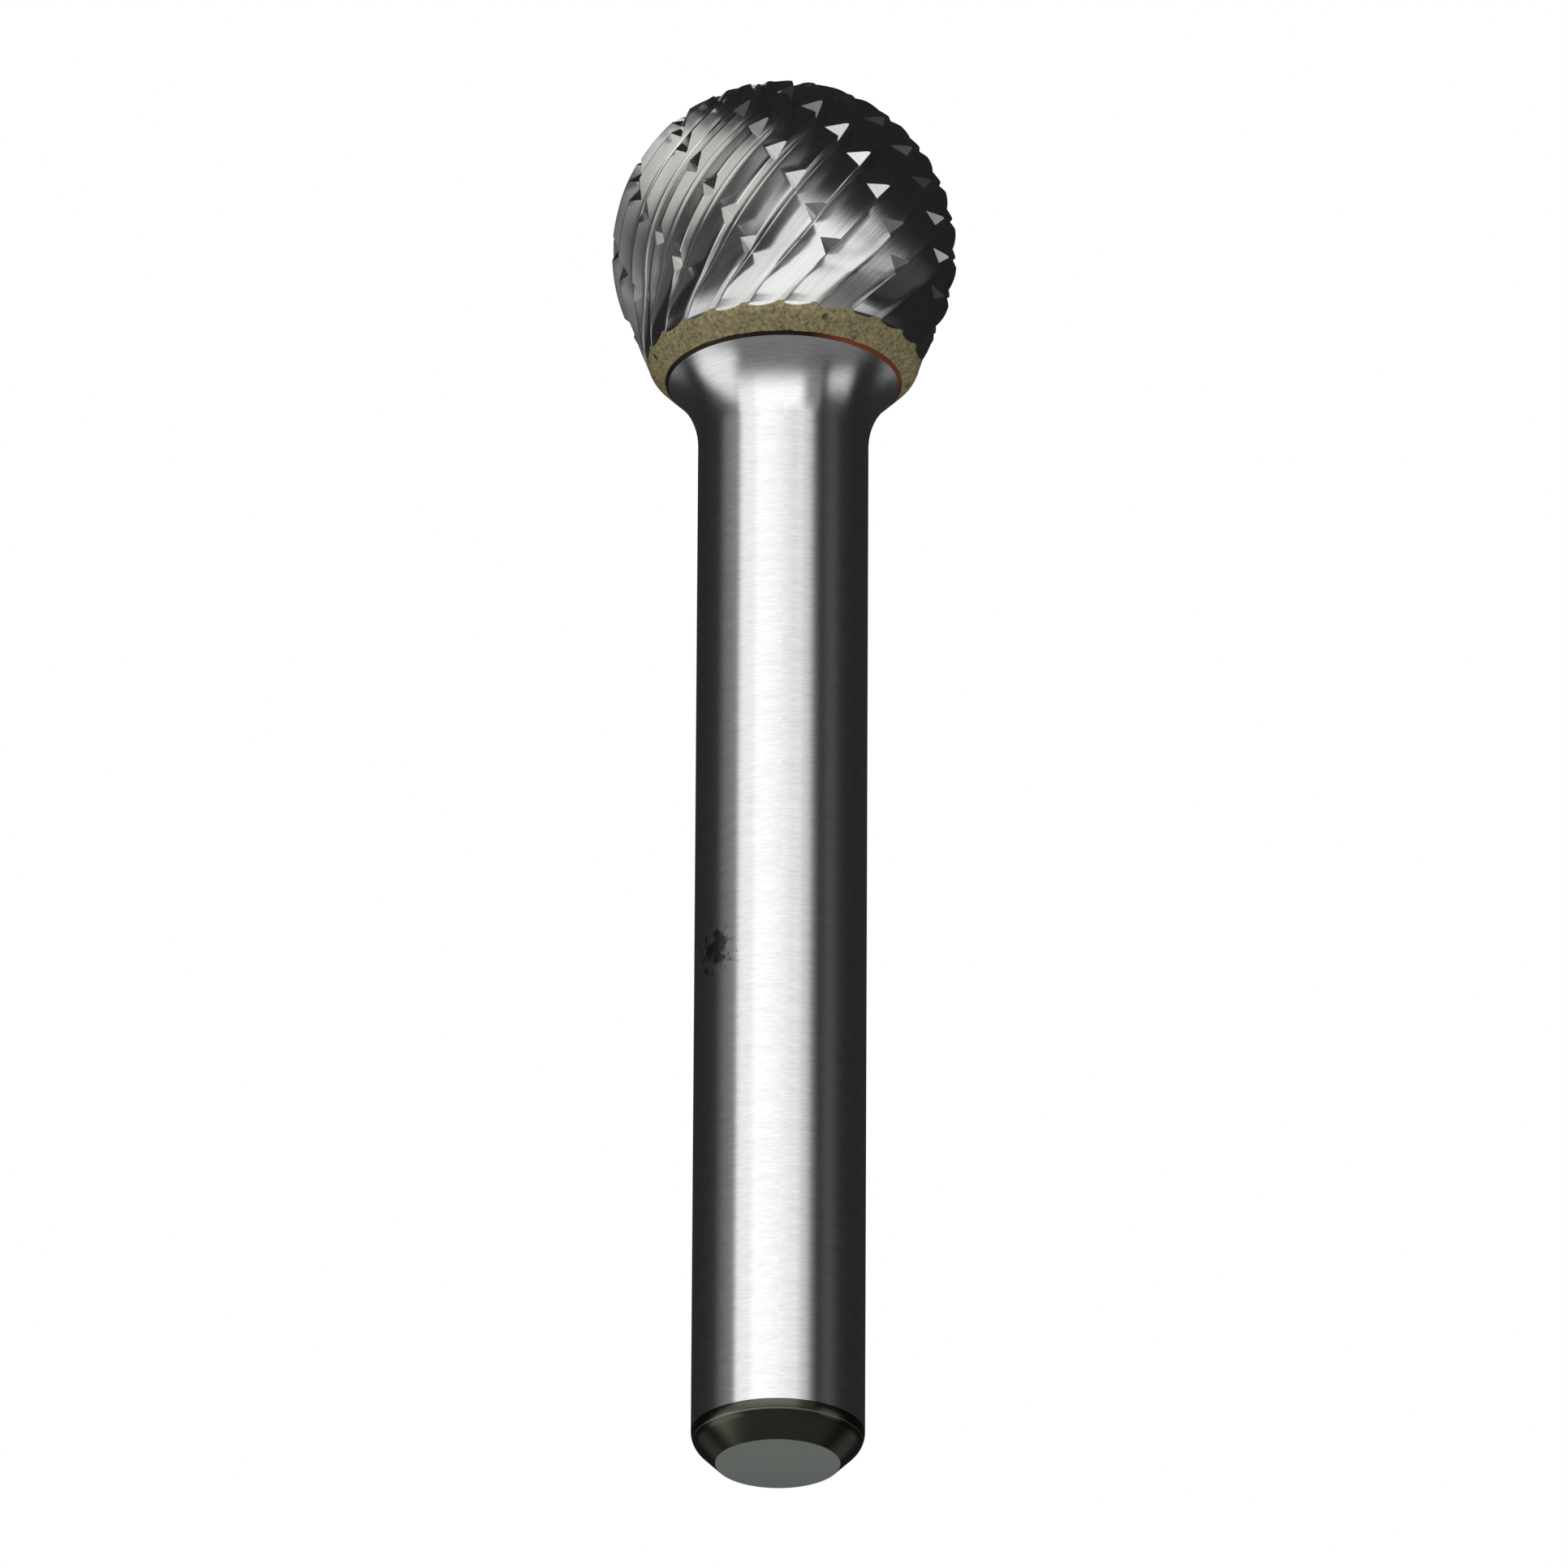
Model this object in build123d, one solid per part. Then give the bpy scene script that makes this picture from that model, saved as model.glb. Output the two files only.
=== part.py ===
from build123d import *

import os
from math import atan2, cos, degrees, hypot, radians, sin, tan

# Double-cut ball burr: a ground tungsten-carbide head brazed to a plain steel shank.
# Millimetres. The shank's end is on z = 0 and the tool's axis is +Z, with the ball on top.

# --- driving dimensions -------------------------------------------------------------------
OVERALL_LENGTH = 55.67
SHANK_DIAMETER = 6.35
BALL_DIAMETER = 12.92

# shank end: a 45 degree chamfer, rounded into the cylinder
END_CHAMFER = 0.90
END_CHAMFER_ROUNDING = 0.85

# neck: a 45 degree taper under the head, blended into the shank by a concave radius
NECK_BLEND_RADIUS = 3.50

# head: seat on the braze, chamfer round the seat and tapered base up to the ball
SEAT_DIAMETER = 8.84
SEAT_BELOW_CENTRE = 5.42
SEAT_CHAMFER = 0.57
BALL_ENDS_BELOW = 29.2  # degrees below the equator, where the tapered base takes over
UNGROUND_WIDTH = 0.30  # base left as sintered between the flutes and the chamfer

BRAZE_THICKNESS = 0.12

# flutes: right-hand spiral, cut into the ball from the base to near the pole
FLUTES = 24
HELIX_ANGLE = 35.8  # degrees from the meridian, round the middle of the ball
HELIX_AT_BASE = 42.4  # where the flutes run out to the base
HELIX_EVEN_FROM, HELIX_EVEN_TO = -18.0, 20.0  # latitudes between which it is constant
STRAIGHT_ABOVE = 52.0  # latitude from which the teeth run straight towards the pole
FIRST_TOOTH_ANGLE = 5.5  # degrees east of the front, on the equator
TOOTH_HEIGHT_SHARE = 0.37  # tooth height, as a share of the pitch
TOOTH_MARGIN = 0.06  # width left at the very edge of a tooth
RAKE_SLOPE = 8.0  # degrees that the rake face leans back from the radius
GULLET_NOSE_SHARE = 0.30  # flat at the bottom of a gullet, as a share of its depth
GULLET_NOSE_LEAST = 0.06  # width that the flat keeps where the gullet runs out
FULL_DEPTH_BELOW = 21.0  # degrees below the equator, where the run-out to the base starts
LONG_FLUTE_END = 79.0  # degrees above the equator; every other flute stops sooner
SHORT_FLUTE_END = 67.0
TOP_RUN_OUT = 9.0  # degrees over which a flute fades at the top
FLUTE_STATIONS = 11  # sections along one flute

# chip breakers: left-hand notches that break each tooth, staggered from tooth to tooth
BREAKER_STEP = 11.12  # degrees of latitude from one row's crossing to the next
BREAKER_FIRST_LATITUDE = -2.8  # crossing of row 0
BREAKER_ROWS = range(-2, 7)
BREAKER_ANGLE = 32.1  # degrees from the meridian, to the left
BREAKER_DEPTH = 0.41  # at the equator
BREAKER_DEEPENING = 0.003  # share of the depth gained for each degree upward
BREAKER_DEPTH_LIMIT = 0.72  # as a share of the tooth's height
BREAKER_WIDTH_SHARE = 1.6  # width of the shallow side, in depths
BREAKER_STEEP_SIDE = 65.0  # degrees of the steep side from the surface
BREAKER_RUN_SHARE = 1.05  # length cut into the land, of where the notch's floor runs out

# --- worked out ---------------------------------------------------------------------------
BALL_RADIUS = BALL_DIAMETER / 2
SHANK_RADIUS = SHANK_DIAMETER / 2
SEAT_RADIUS = SEAT_DIAMETER / 2
CENTRE = OVERALL_LENGTH - BALL_RADIUS
SEAT_Z = CENTRE - SEAT_BELOW_CENTRE
PITCH_ANGLE = 360 / FLUTES

# the head's outline, as (radius, height above the ball's centre)
SEAT_EDGE = (SEAT_RADIUS, -SEAT_BELOW_CENTRE)
BASE_CORNER = (SEAT_RADIUS + SEAT_CHAMFER, -SEAT_BELOW_CENTRE + SEAT_CHAMFER)
BALL_START = (
    BALL_RADIUS * cos(radians(BALL_ENDS_BELOW)),
    -BALL_RADIUS * sin(radians(BALL_ENDS_BELOW)),
)
BASE_TAPER = (BALL_START[0] - BASE_CORNER[0]) / (BALL_START[1] - BASE_CORNER[1])
GROUND_END_Z = BASE_CORNER[1] + UNGROUND_WIDTH
GROUND_END = degrees(
    atan2(GROUND_END_Z, BASE_CORNER[0] + BASE_TAPER * UNGROUND_WIDTH)
)

# clear air that the cutters reach into, and how far their ends climb out of the head
CUTTER_AIR = 0.25
CUTTER_LIP = 0.02
CUTTER_EXIT = 0.16
EXIT_SPAN = 4.0
BREAKER_OVERSIZE = 1.35  # the wedge's width, of the notch that it leaves on a round head
BREAKER_LEAD_SHARE = 0.22  # how far the wedge starts before the tooth's edge, in crossings

TWIST_STEPS = 48  # steps in which the spiral's twist is summed

# where a 45 degree slope turns into the axis, a round's ends lie this share of its radius
# from the corner, and its middle is at half the turn
HALF_TURN = radians(45 / 2)
TANGENT_SHARE = tan(HALF_TURN)
BLEND_ROOM = 0.95  # share of the neck's taper that its blend may take


def head_distance(latitude):
    """Distance from the ball's centre to the head's outline at a latitude, in degrees."""
    if latitude >= -BALL_ENDS_BELOW:
        return BALL_RADIUS
    foot = BASE_CORNER[0] - BASE_TAPER * BASE_CORNER[1]
    return foot / (cos(radians(latitude)) - BASE_TAPER * sin(radians(latitude)))


def twist_rate(latitude):
    """Degrees that a tooth's edge goes east for each degree north."""
    middle, base = tan(radians(HELIX_ANGLE)), tan(radians(HELIX_AT_BASE))
    below = max(HELIX_EVEN_FROM - latitude, 0) / (HELIX_EVEN_FROM - GROUND_END)
    left = (STRAIGHT_ABOVE - latitude) / (STRAIGHT_ABOVE - HELIX_EVEN_TO)
    slope = middle * min(max(left, 0.0), 1.0) + (base - middle) * below
    return slope / cos(radians(latitude))


def tooth_angle(tooth, latitude):
    """Angle east of the front of a tooth's edge: the twist summed from the equator."""
    step = latitude / TWIST_STEPS
    twist = sum(twist_rate((i + 0.5) * step) for i in range(TWIST_STEPS)) * step
    return FIRST_TOOTH_ANGLE + tooth * PITCH_ANGLE + twist


def surface_frame(angle, latitude):
    """Unit vectors outward, east and north on the ball at an angle east of the front."""
    a, b = radians(angle), radians(latitude)
    outward = Vector(cos(b) * sin(a), -cos(b) * cos(a), sin(b))
    east = Vector(cos(a), sin(a), 0)
    return outward, east, outward.cross(east)


def eased(value):
    """Goes from 0 to 1 with no kink at either end."""
    share = min(max(value, 0.0), 1.0)
    return share * share * (3 - 2 * share)


def tooth_height(latitude, flute_end):
    """Depth of the gullet: a share of the pitch, fading at the base and at the top."""
    pitch = BALL_RADIUS * cos(radians(latitude)) * radians(PITCH_ANGLE)
    at_base = eased((latitude - GROUND_END) / (-FULL_DEPTH_BELOW - GROUND_END))
    at_top = eased((flute_end - latitude) / TOP_RUN_OUT)
    faded = TOOTH_HEIGHT_SHARE * pitch * at_base * at_top
    return max(faded, CUTTER_LIP)


def cutter_lift(latitude, flute_end):
    """How far a flute cutter stands clear of the head, beyond the flute's two ends."""
    beyond = max(GROUND_END - latitude, latitude - flute_end, 0)
    return CUTTER_EXIT * beyond / EXIT_SPAN


def flute_section(flute, latitude, flute_end):
    """Wheel's section across one gullet: rake face, nose flat and the next tooth's land."""
    middle = tooth_angle(flute, latitude) + PITCH_ANGLE / 2
    outward, east, _ = surface_frame(middle, latitude)
    reach = head_distance(latitude)
    ring = reach * cos(radians(latitude))
    half = ring * sin(radians(PITCH_ANGLE / 2)) - TOOTH_MARGIN / 2
    sagitta = ring * (1 - cos(radians(PITCH_ANGLE / 2))) * cos(radians(latitude))
    edge = cutter_lift(latitude, flute_end) - sagitta
    height = tooth_height(latitude, flute_end)
    lean = tan(radians(RAKE_SLOPE))
    root = (-half + lean * height, edge - height)
    land = (half, edge + CUTTER_LIP)
    nose = max(GULLET_NOSE_SHARE * height, GULLET_NOSE_LEAST)
    along = nose / hypot(land[0] - root[0], land[1] - root[1])
    outline = [
        (-half - lean * CUTTER_AIR, edge + CUTTER_AIR),
        (root[0] - lean * nose, root[1] + nose),
        (root[0] + along * (land[0] - root[0]), root[1] + along * (land[1] - root[1])),
        land,
        (half, edge + CUTTER_AIR),
    ]
    centre = Vector(0, 0, CENTRE)
    return Wire.make_polygon(
        [centre + outward * (reach + h) + east * e for e, h in outline], close=True
    )


def flute_cutter(flute):
    """One gullet's solid, lofted through sections along the spiral."""
    flute_end = SHORT_FLUTE_END if flute % 2 else LONG_FLUTE_END
    start, stop = GROUND_END - EXIT_SPAN, flute_end + EXIT_SPAN / 2
    step = (stop - start) / (FLUTE_STATIONS - 1)
    return Solid.make_loft(
        [flute_section(flute, start + i * step, flute_end) for i in range(FLUTE_STATIONS)]
    )


def chip_breaker(tooth, row):
    """Wedge that notches one tooth: a shallow side upward and a steep side below."""
    latitude = BREAKER_FIRST_LATITUDE + row * BREAKER_STEP
    outward, east, north = surface_frame(tooth_angle(tooth, latitude), latitude)
    lean = radians(BREAKER_ANGLE)
    along = north * cos(lean) - east * sin(lean)
    across = east * cos(lean) + north * sin(lean)
    height = tooth_height(latitude, LONG_FLUTE_END)
    depth = min(
        BREAKER_DEPTH * (1 + BREAKER_DEEPENING * latitude), BREAKER_DEPTH_LIMIT * height
    )
    width = BREAKER_WIDTH_SHARE * depth
    slope = depth / width - width / (2 * BALL_RADIUS)
    top = BREAKER_OVERSIZE * width
    steep = (depth + CUTTER_AIR) / tan(radians(BREAKER_STEEP_SIDE))
    outline = [
        (-steep, CUTTER_AIR),
        (0, -depth),
        (top, slope * top - depth),
        (top, CUTTER_AIR),
    ]
    pitch = BALL_RADIUS * cos(radians(latitude)) * radians(PITCH_ANGLE)
    crossing = pitch * cos(radians(HELIX_ANGLE)) / sin(radians(HELIX_ANGLE + BREAKER_ANGLE))
    before = BREAKER_LEAD_SHARE * crossing
    beyond = BREAKER_RUN_SHARE * crossing * depth / height
    edge = Vector(0, 0, CENTRE) + outward * head_distance(latitude)
    start = edge - along * before
    face = Face(
        Wire.make_polygon([start + across * a + outward * h for a, h in outline], close=True)
    )
    return Solid.extrude(face, along * (before + beyond))


def turned(outline):
    """Solid of revolution about Z from a closed outline of lines in the XZ plane."""
    return Solid.revolve(Face(Wire(outline)), 360, Axis.Z)


def head_blank():
    """The sintered blank: seat, chamfer, tapered base and ball."""
    foot = Vector(0, 0, SEAT_Z)
    pole = Vector(0, 0, OVERALL_LENGTH)
    edge, corner, start = (
        Vector(r, 0, CENTRE + z) for r, z in (SEAT_EDGE, BASE_CORNER, BALL_START)
    )
    equator = Vector(BALL_RADIUS, 0, CENTRE)
    return turned(
        [
            Edge.make_line(foot, edge),
            Edge.make_line(edge, corner),
            Edge.make_line(corner, start),
            Edge.make_three_point_arc(start, equator, pole),
            Edge.make_line(pole, foot),
        ]
    )


def carbide_head():
    """The blank with its flutes and chip breakers ground in."""
    head = head_blank()
    head = head.cut(*[flute_cutter(flute) for flute in range(FLUTES)])
    notches = [
        chip_breaker(tooth, row)
        for row in BREAKER_ROWS
        for tooth in range(FLUTES)
        if (tooth + row) % 2 == 0
    ]
    return head.cut(*notches)


def braze_joint():
    """Thin layer of braze between the seat of the head and the end of the shank."""
    foot = SEAT_Z - BRAZE_THICKNESS
    return turned(
        Wire.make_polygon(
            [
                Vector(0, 0, foot),
                Vector(SEAT_RADIUS - BRAZE_THICKNESS, 0, foot),
                Vector(SEAT_RADIUS, 0, SEAT_Z),
                Vector(0, 0, SEAT_Z),
            ]
        ).edges()
    )


def steel_shank():
    """Ground shank: chamfered and rounded end, cylinder, concave neck and taper to the seat."""
    top = SEAT_Z - BRAZE_THICKNESS
    top_radius = SEAT_RADIUS - BRAZE_THICKNESS
    flare = top_radius - SHANK_RADIUS
    blend_radius = min(NECK_BLEND_RADIUS, BLEND_ROOM * hypot(flare, flare) / TANGENT_SHARE)
    blend = blend_radius * TANGENT_SHARE
    rounding = END_CHAMFER_ROUNDING * TANGENT_SHARE
    outward_low = Vector(cos(HALF_TURN), 0, -sin(HALF_TURN))
    slant = Vector(1, 0, 1).normalized()
    neck_corner = Vector(SHANK_RADIUS, 0, top - flare)
    neck_centre = Vector(SHANK_RADIUS + blend_radius, 0, neck_corner.Z - blend)
    end_corner = Vector(SHANK_RADIUS, 0, END_CHAMFER)
    end_centre = Vector(SHANK_RADIUS - END_CHAMFER_ROUNDING, 0, END_CHAMFER + rounding)
    foot, head = Vector(0, 0, 0), Vector(0, 0, top)
    flat_edge = Vector(SHANK_RADIUS - END_CHAMFER, 0, 0)
    chamfer_end = end_corner - slant * rounding
    shank_start = end_corner + Vector(0, 0, rounding)
    shank_end = neck_corner - Vector(0, 0, blend)
    taper_start = neck_corner + slant * blend
    taper_end = Vector(top_radius, 0, top)
    return turned(
        [
            Edge.make_line(foot, flat_edge),
            Edge.make_line(flat_edge, chamfer_end),
            Edge.make_three_point_arc(
                chamfer_end, end_centre + outward_low * END_CHAMFER_ROUNDING, shank_start
            ),
            Edge.make_line(shank_start, shank_end),
            Edge.make_three_point_arc(
                shank_end, neck_centre - outward_low * blend_radius, taper_start
            ),
            Edge.make_line(taper_start, taper_end),
            Edge.make_line(taper_end, head),
            Edge.make_line(head, foot),
        ]
    )


os.makedirs("parts", exist_ok=True)
NODES = {
    "carbide_head": carbide_head,
    "braze_joint": braze_joint,
    "steel_shank": steel_shank,
}
for node, build in NODES.items():
    export_step(build(), f"parts/{node}.step")
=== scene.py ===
"""A double-cut tungsten-carbide ball burr on a ground steel shank, dressed for the camera."""

import logging
import math
from collections.abc import Iterable
from dataclasses import dataclass
from enum import Enum
from typing import Any

import bpy
import numpy as np
from mathutils import Matrix, Vector


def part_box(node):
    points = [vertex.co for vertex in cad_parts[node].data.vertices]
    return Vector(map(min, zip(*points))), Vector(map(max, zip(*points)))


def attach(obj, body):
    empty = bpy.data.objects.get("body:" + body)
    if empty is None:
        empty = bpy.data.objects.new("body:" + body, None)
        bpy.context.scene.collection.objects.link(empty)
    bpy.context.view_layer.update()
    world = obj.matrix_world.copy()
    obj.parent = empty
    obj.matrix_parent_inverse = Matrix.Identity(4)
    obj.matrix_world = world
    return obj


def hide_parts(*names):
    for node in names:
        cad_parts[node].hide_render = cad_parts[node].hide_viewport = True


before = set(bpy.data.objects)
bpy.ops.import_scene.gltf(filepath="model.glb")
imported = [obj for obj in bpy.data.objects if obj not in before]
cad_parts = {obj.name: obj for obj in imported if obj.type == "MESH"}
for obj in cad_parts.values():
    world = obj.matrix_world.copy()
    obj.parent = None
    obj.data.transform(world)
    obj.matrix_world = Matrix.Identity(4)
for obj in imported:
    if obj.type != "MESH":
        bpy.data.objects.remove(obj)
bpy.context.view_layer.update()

LOG = logging.getLogger("ball_burr")
MM = 0.001
ROOT = "root"
GRIND_MAP = "grind"
CUT_DEPTH = "cut_depth"
QUARTER_TURN = 0.25
NOISE_LOW, NOISE_HIGH = 0.3, 0.7  # a noise texture mostly lies between these
NodeTree = bpy.types.NodeTree
Socket = bpy.types.NodeSocket


# --- small helpers ------------------------------------------------------------------------


def linear(hex_colour: str) -> tuple[float, float, float, float]:
    """Turns an sRGB hex colour into the linear RGBA that a shader socket holds.

    Args:
        hex_colour: Six hex digits after a hash sign.

    Returns:
        Linear red, green, blue and an alpha of 1.
    """
    channels = [int(hex_colour[i : i + 2], 16) / 255 for i in (1, 3, 5)]
    low = [c / 12.92 if c <= 0.04045 else ((c + 0.055) / 1.055) ** 2.4 for c in channels]
    return (low[0], low[1], low[2], 1.0)


def add_node(
    tree: NodeTree,
    kind: str,
    inputs: dict[Any, Any] | None = None,
    **settings: Any,
) -> bpy.types.Node:
    """Adds a node with its settings, its values and its links.

    Args:
        tree: A material's or the world's node tree.
        kind: Blender's name for the node's type.
        inputs: Values or output sockets for the inputs, by name or number.
        **settings: Attributes of the node itself.

    Returns:
        The new node.
    """
    node = tree.nodes.new(kind)
    for name, value in settings.items():
        setattr(node, name, value)
    for name, value in (inputs or {}).items():
        if isinstance(value, Socket):
            tree.links.new(value, node.inputs[name])
        else:
            node.inputs[name].default_value = value
    return node


def product(tree: NodeTree, factors: Iterable[Socket | float]) -> Socket:
    """Multiplies any number of values.

    Args:
        tree: A material's or the world's node tree.
        factors: Numbers or output sockets.

    Returns:
        The product's socket.
    """
    result, *others = factors
    for factor in others:
        both = {0: result, 1: factor}
        result = add_node(tree, "ShaderNodeMath", both, operation="MULTIPLY").outputs[0]
    return result


def angle_east(tree: NodeTree, place: Socket) -> Socket:
    """Works out the angle east of the front, round the tool's axis.

    Args:
        tree: A material's or the world's node tree.
        place: A place or a direction.

    Returns:
        The angle in radians.
    """
    axes = add_node(tree, "ShaderNodeSeparateXYZ", {"Vector": place})
    sides = {0: axes.outputs["X"], 1: product(tree, (axes.outputs["Y"], -1.0))}
    return add_node(tree, "ShaderNodeMath", sides, operation="ARCTAN2").outputs[0]


def mesh_object(name: str, points: np.ndarray, faces: list[tuple[int, ...]]) -> bpy.types.Object:
    """Makes an object from points and faces and links it to the scene.

    Args:
        name: The object's name.
        points: One row of three metres a point.
        faces: Point numbers of each face, anticlockwise from outside.

    Returns:
        The new object.
    """
    mesh = bpy.data.meshes.new(name)
    mesh.from_pydata(points.tolist(), [], faces)
    mesh.update()
    obj = bpy.data.objects.new(name, mesh)
    bpy.context.scene.collection.objects.link(obj)
    return obj


def tube_faces(rows: int, columns: int) -> list[tuple[int, ...]]:
    """Faces of a closed tube, whose points are rows from the bottom up, then two middles.

    Args:
        rows: Rows of points.
        columns: Points in a row, going east.

    Returns:
        The point numbers of each face: the side, then the bottom's and the top's fans.
    """
    side, fans = [], []
    last, bottom, top = (rows - 1) * columns, rows * columns, rows * columns + 1
    for row in range(rows - 1):
        low, high = row * columns, (row + 1) * columns
        for column in range(columns):
            beside = (column + 1) % columns
            side.append((low + column, low + beside, high + beside, high + column))
    for column in range(columns):
        beside = (column + 1) % columns
        fans += [(beside, column, bottom), (last + column, last + beside, top)]
    return side + fans


def finish_piece(
    obj: bpy.types.Object, node: str, crease: float, materials: list[bpy.types.Material]
) -> None:
    """Smooths a piece between its creases, dresses it and puts it in its node's place.

    Args:
        obj: The piece.
        node: The CAD node that it stands for.
        crease: Angle in radians above which an edge stays sharp.
        materials: The piece's finishes, in the order of its faces' numbers.
    """
    mesh = obj.data
    mesh.polygons.foreach_set("use_smooth", [True] * len(mesh.polygons))
    mesh.set_sharp_from_angle(angle=crease)
    if not mesh.materials:
        for material in materials:
            mesh.materials.append(material)
    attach(obj, ROOT)
    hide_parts(node)
    LOG.info("%s: %d faces", obj.name, len(mesh.polygons))


def eased(value: np.ndarray) -> np.ndarray:
    """Goes from 0 to 1 with no kink at either end.

    Args:
        value: Shares of the way, which may lie outside 0 to 1.

    Returns:
        The eased shares.
    """
    share = np.clip(value, 0.0, 1.0)
    return share * share * (3 - 2 * share)


# --- the head -----------------------------------------------------------------------------


@dataclass(frozen=True)
class BallBlank:
    """The sintered blank: a ball on a tapered base with a chamfer round its seat."""

    centre: float
    radius: float = 6.46 * MM
    skin_below: float = 4.5 * MM  # no skin is left nearer to the ball's centre than this
    seat_radius: float = 4.42 * MM
    seat_below: float = 5.42 * MM
    seat_chamfer: float = 0.57 * MM
    ball_ends_below: float = math.radians(29.2)
    corner_softness: float = 0.05 * MM
    chamfer_sine: float = -0.5  # the sine of a latitude that is well above the chamfer

    @property
    def corner(self) -> tuple[float, float]:
        """Radius and height of the edge between the taper and the chamfer."""
        return self.seat_radius + self.seat_chamfer, self.seat_chamfer - self.seat_below

    @property
    def ball_start(self) -> tuple[float, float]:
        """Radius and height where the taper meets the ball."""
        ends = self.ball_ends_below
        return self.radius * math.cos(ends), -self.radius * math.sin(ends)

    def distance(self, latitude: np.ndarray) -> np.ndarray:
        """Distance from the ball's centre to the blank's surface.

        Args:
            latitude: Angles above the equator, in radians.

        Returns:
            The distances in metres.
        """
        across, along = np.cos(latitude), np.sin(latitude)
        (corner_r, corner_z), (start_r, start_z) = self.corner, self.ball_start
        taper = (start_r - corner_r) / (start_z - corner_z)
        cone = (corner_r - taper * corner_z) / (across - taper * along)
        low = np.minimum(along, self.chamfer_sine)
        chamfer = (self.seat_radius + self.seat_below) / (across - low)
        soft = self.corner_softness
        gap = np.abs(cone - chamfer)
        round_off = np.maximum(soft - gap, 0.0) ** 2 / (4 * soft)
        base = np.minimum(cone, chamfer) - round_off
        return np.where(latitude >= -self.ball_ends_below, self.radius, base)


@dataclass(frozen=True)
class SpiralTeeth:
    """Right-hand flutes ground into the blank, with a tooth between each two."""

    blank: BallBlank
    flutes: int = 24
    helix: float = math.radians(35.8)
    helix_at_base: float = math.radians(42.4)
    even_from: float = math.radians(-18.0)
    even_to: float = math.radians(20.0)
    straight_above: float = math.radians(52.0)
    first_tooth: float = math.radians(5.5)
    height_share: float = 0.37
    margin: float = 0.06 * MM
    rake_slope: float = math.radians(8.0)
    nose_share: float = 0.30
    nose_least: float = 0.06 * MM
    ground_end: float = math.radians(-41.9)
    full_depth_below: float = math.radians(21.0)
    long_end: float = math.radians(79.0)
    short_end: float = math.radians(67.0)
    run_out: float = math.radians(9.0)
    least_height: float = 0.02 * MM
    exit_climb: float = 0.16 * MM
    exit_span: float = math.radians(4.0)
    rake_steps: int = 2
    nose_steps: int = 8
    land_steps: int = 9
    least_half_share: float = 0.125
    edge_from: float = math.radians(-60.0)
    edge_to: float = math.radians(89.0)
    edge_samples: int = 2400

    @property
    def pitch(self) -> float:
        """Angle from one tooth to the next."""
        return 2 * math.pi / self.flutes

    def twist_rate(self, latitude: np.ndarray) -> np.ndarray:
        """How far a tooth's edge goes east for each step north.

        Args:
            latitude: Angles above the equator, in radians.

        Returns:
            The ratio of the two angles.
        """
        middle, base = math.tan(self.helix), math.tan(self.helix_at_base)
        below = np.maximum(self.even_from - latitude, 0) / (self.even_from - self.ground_end)
        left = (self.straight_above - latitude) / (self.straight_above - self.even_to)
        return (middle * np.clip(left, 0, 1) + (base - middle) * below) / np.cos(latitude)

    def edge_angle(self, tooth: float, latitude: np.ndarray) -> np.ndarray:
        """Angle east of the front at which a tooth's edge runs.

        Args:
            tooth: The tooth's number.
            latitude: Angles above the equator, in radians.

        Returns:
            The angles in radians.
        """
        fine = np.linspace(self.edge_from, self.edge_to, self.edge_samples)
        rate = self.twist_rate((fine[1:] + fine[:-1]) / 2) * (fine[1] - fine[0])
        twist = np.concatenate([[0.0], np.cumsum(rate)])
        start = np.interp(0.0, fine, twist)
        return self.first_tooth + tooth * self.pitch + np.interp(latitude, fine, twist) - start

    def height(self, latitude: np.ndarray, flute_end: float) -> np.ndarray:
        """Depth of the gullet, which fades out at the base and near the pole.

        Args:
            latitude: Angles above the equator, in radians.
            flute_end: Latitude where this flute has faded out.

        Returns:
            The depths in metres.
        """
        width = self.blank.radius * np.cos(latitude) * self.pitch
        at_base = eased((latitude - self.ground_end) / (-self.full_depth_below - self.ground_end))
        at_top = eased((flute_end - latitude) / self.run_out)
        faded = self.height_share * width * at_base * at_top
        return np.maximum(faded, self.least_height)

    def section(self, latitude: np.ndarray, flute_end: float) -> tuple[np.ndarray, np.ndarray]:
        """Points across one flute, from one tooth's edge to the next one's.

        Args:
            latitude: Latitude of each row, in radians.
            flute_end: Latitude where this flute has faded out.

        Returns:
            How far east of the flute's middle and how high above the blank each point lies,
            with a row for each latitude.
        """
        ring = self.blank.distance(latitude) * np.cos(latitude)
        least_half = self.margin * self.least_half_share
        half = np.maximum(ring * math.sin(self.pitch / 2) - self.margin / 2, least_half)
        sagitta = ring * (1 - math.cos(self.pitch / 2)) * np.cos(latitude)
        beyond = np.maximum(np.maximum(self.ground_end - latitude, latitude - flute_end), 0)
        edge = self.exit_climb * beyond / self.exit_span - sagitta
        height = self.height(latitude, flute_end)
        lean = math.tan(self.rake_slope)
        tip = np.stack([-half, edge], -1)
        root = np.stack([-half + lean * height, edge - height], -1)
        land = np.stack([half, edge + self.least_height], -1)
        up, out = tip - root, land - root
        up /= np.linalg.norm(up, axis=-1, keepdims=True)
        out /= np.linalg.norm(out, axis=-1, keepdims=True)
        reach = np.maximum(self.nose_share * height, self.nose_least)[:, None]
        nose_start, nose_end = root + up * reach, root + out * reach
        points = [tip + (nose_start - tip) * i / self.rake_steps for i in range(self.rake_steps)]
        for i in range(self.nose_steps + 1):
            t = i / self.nose_steps
            points.append((1 - t) ** 2 * nose_start + 2 * t * (1 - t) * root + t**2 * nose_end)
        for i in range(1, self.land_steps + 1):
            points.append(nose_end + (land - nose_end) * i / self.land_steps)
        across = np.stack(points, 1)
        return across[..., 0], across[..., 1]

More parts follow.
